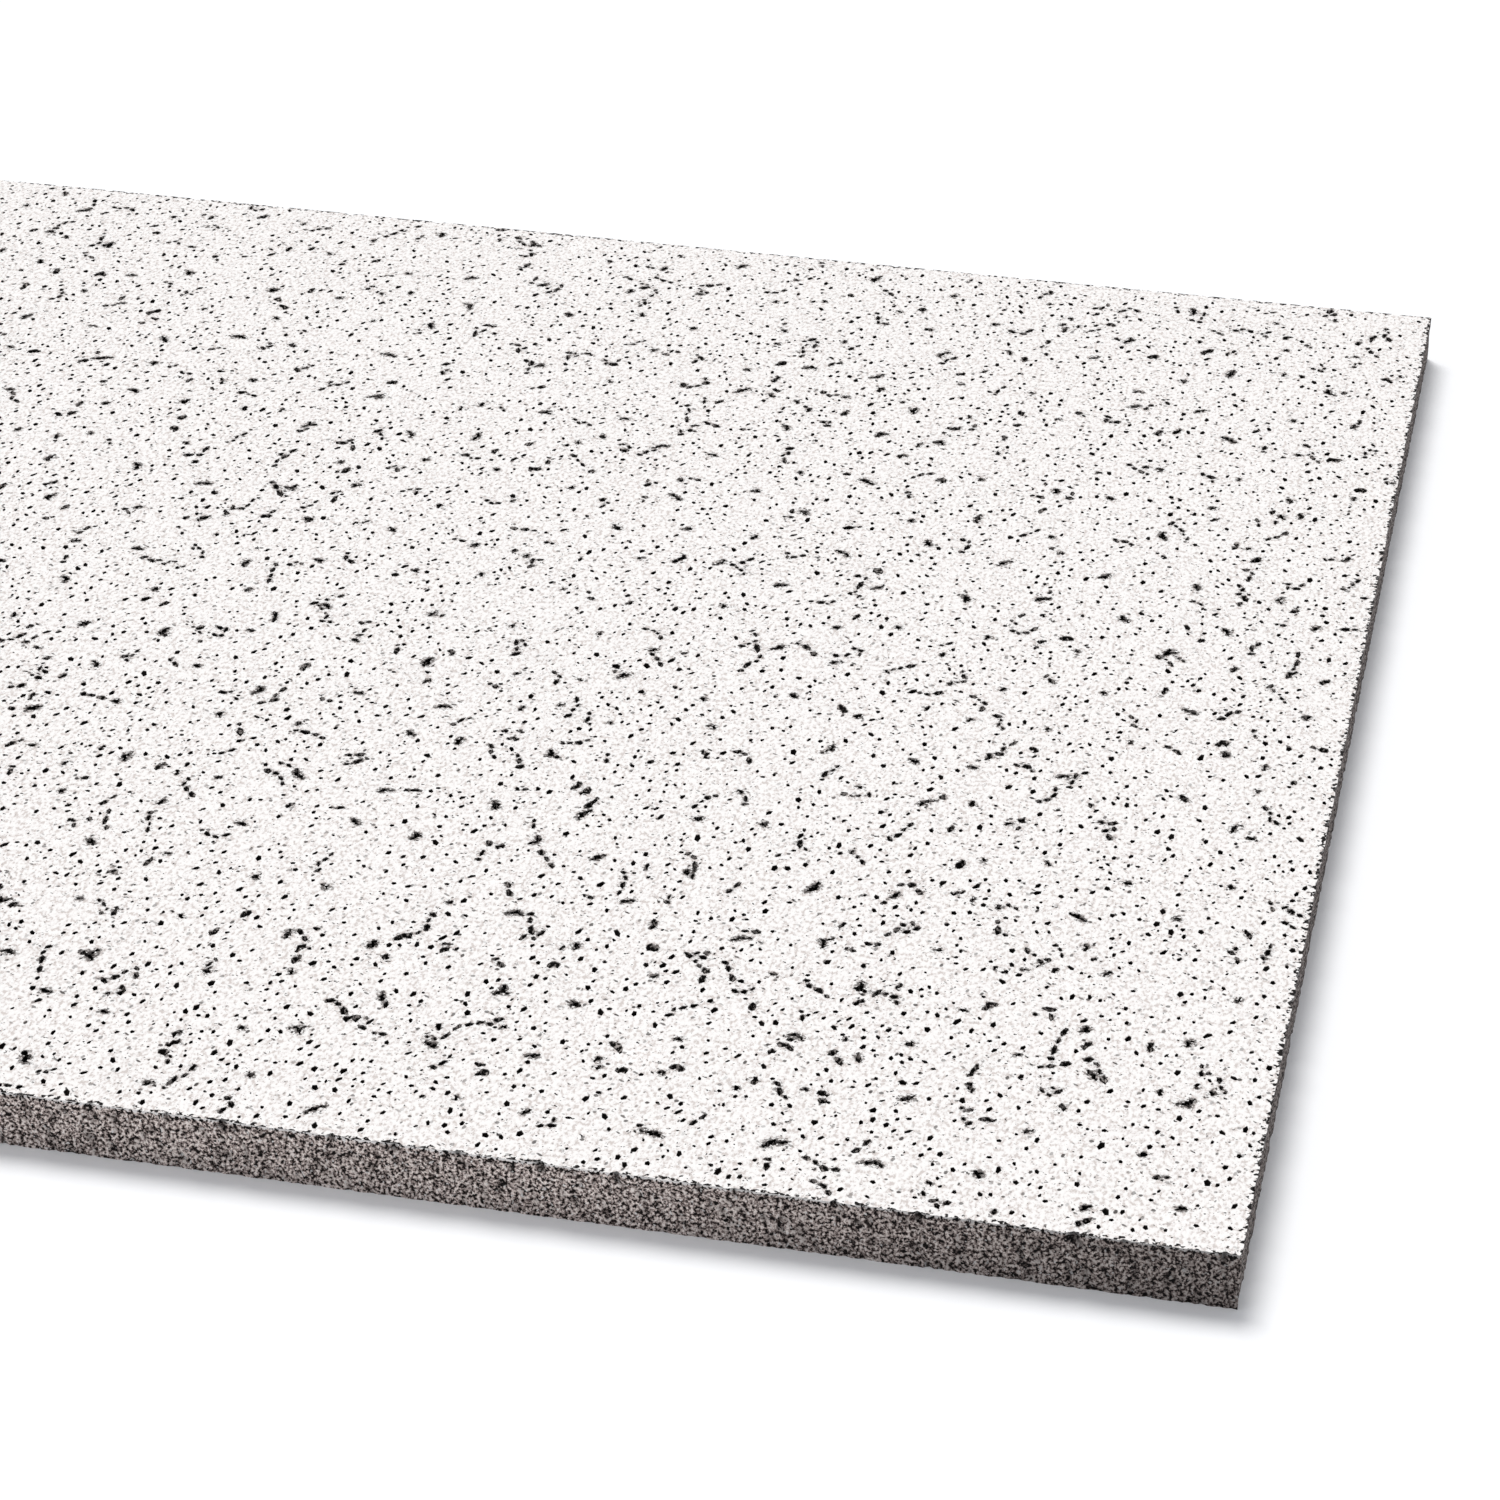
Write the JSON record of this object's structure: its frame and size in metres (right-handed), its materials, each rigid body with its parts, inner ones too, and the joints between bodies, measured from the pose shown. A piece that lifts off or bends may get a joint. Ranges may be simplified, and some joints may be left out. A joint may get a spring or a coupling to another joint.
{
  "type": "suspended ceiling tile",
  "caption": "Square lay-in ceiling board of mineral fibre with a white face of scattered fissures and pinholes and bare square-cut edges.",
  "frame": {"origin": "middle of the back face, which the tile lies on", "axes": "+Z out of the painted face, +X and +Y along the cut edges; the tile lies face up as in the picture"},
  "size_m": [0.603, 0.603, 0.0159],
  "materials": {
    "painted_board": "matte white latex paint on the room face, bare grey-brown mineral fibre on the cut edges"
  },
  "bodies": {
    "root": {"ceiling_tile": "painted_board"}
  },
  "joints": []
}
